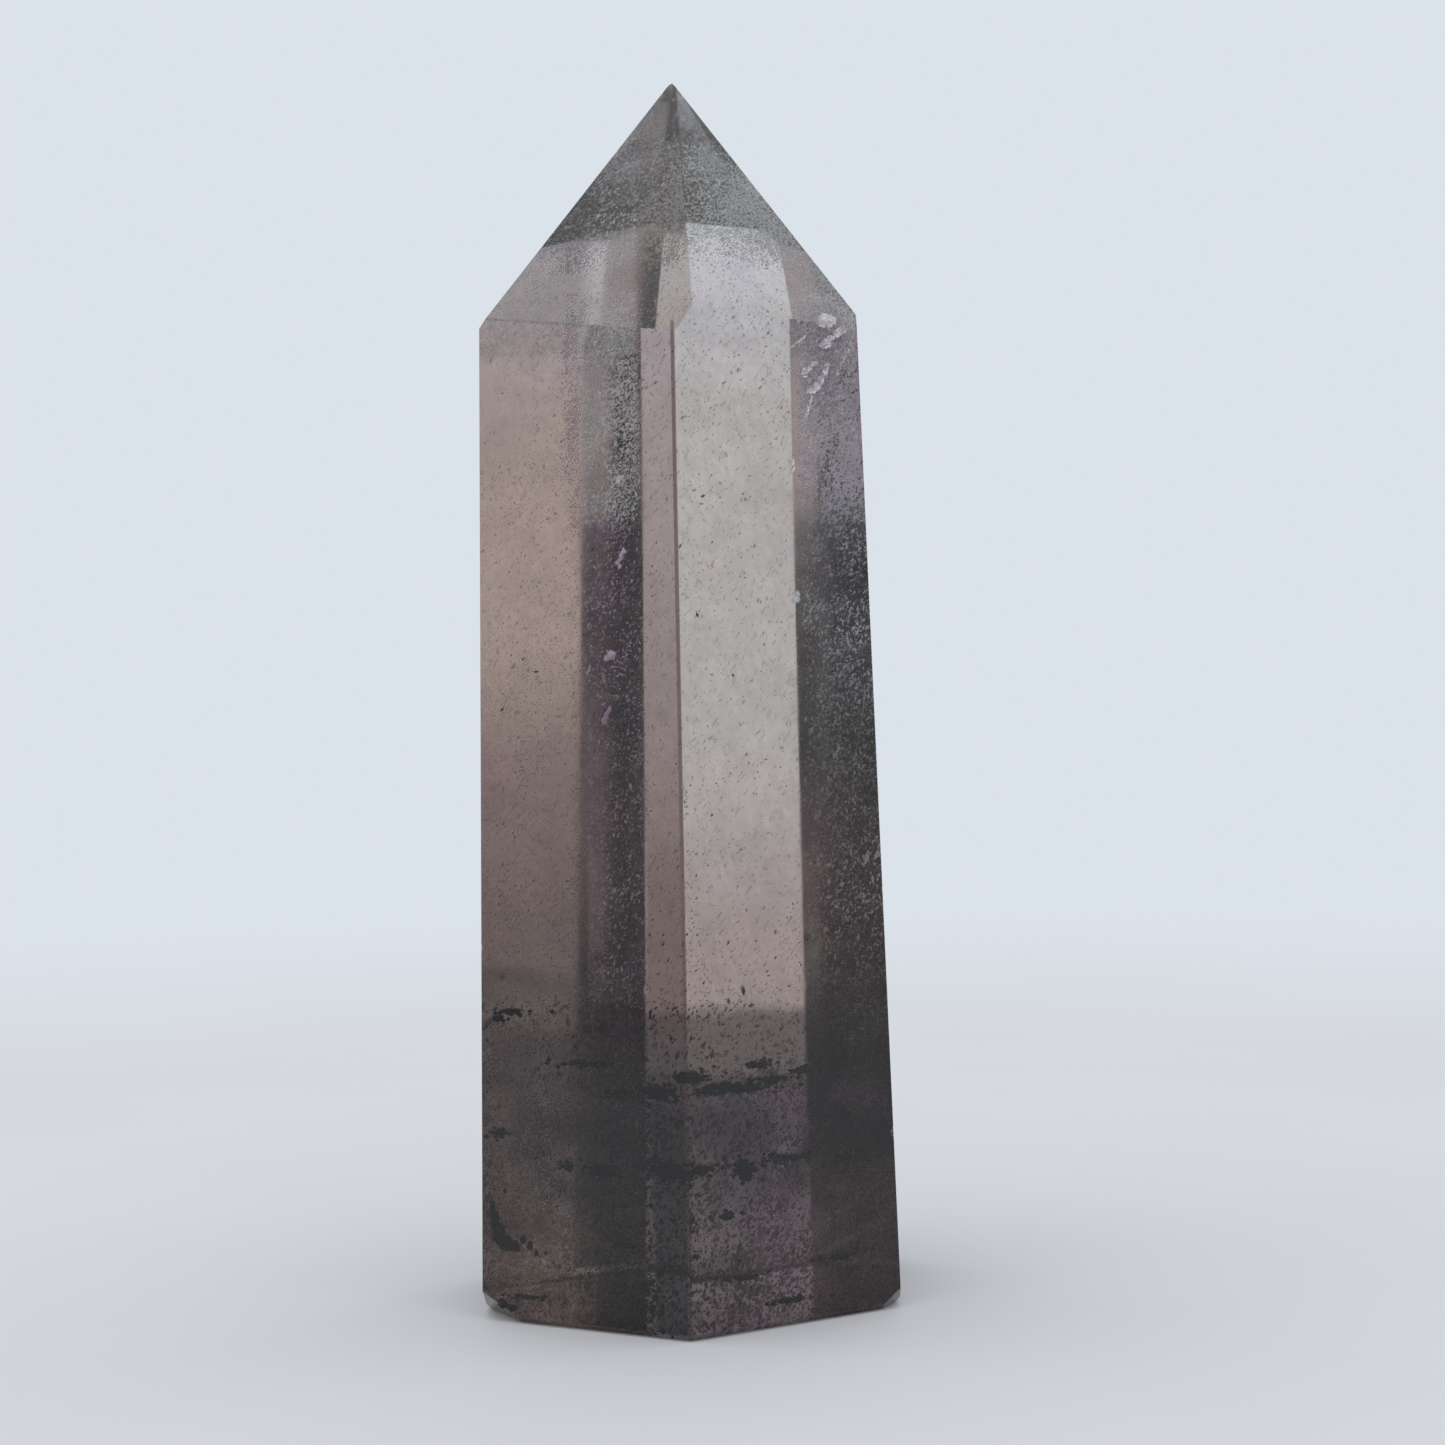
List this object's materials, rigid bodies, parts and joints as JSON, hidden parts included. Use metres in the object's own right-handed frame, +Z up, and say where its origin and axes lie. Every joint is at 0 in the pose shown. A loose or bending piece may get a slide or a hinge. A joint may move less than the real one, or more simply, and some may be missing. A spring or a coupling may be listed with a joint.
{
  "type": "smoky quartz tower",
  "caption": "Free-standing six-sided quartz point with polished tapering sides, an uneven six-flat tip and a flat base.",
  "frame": {"origin": "middle of the base's outline, on the surface that the tower stands on", "axes": "+Z up along the tower to its tip, -Y towards the front edge that the picture shows, +X to the right seen from the front"},
  "size_m": [0.0268, 0.0314, 0.0799],
  "materials": {
    "smoky_quartz": "polished, see-through grey-brown smoky quartz with a purple cast, fine dark and pale flecks and a darker foot"
  },
  "bodies": {
    "root": {"tower": "smoky_quartz"}
  },
  "joints": []
}
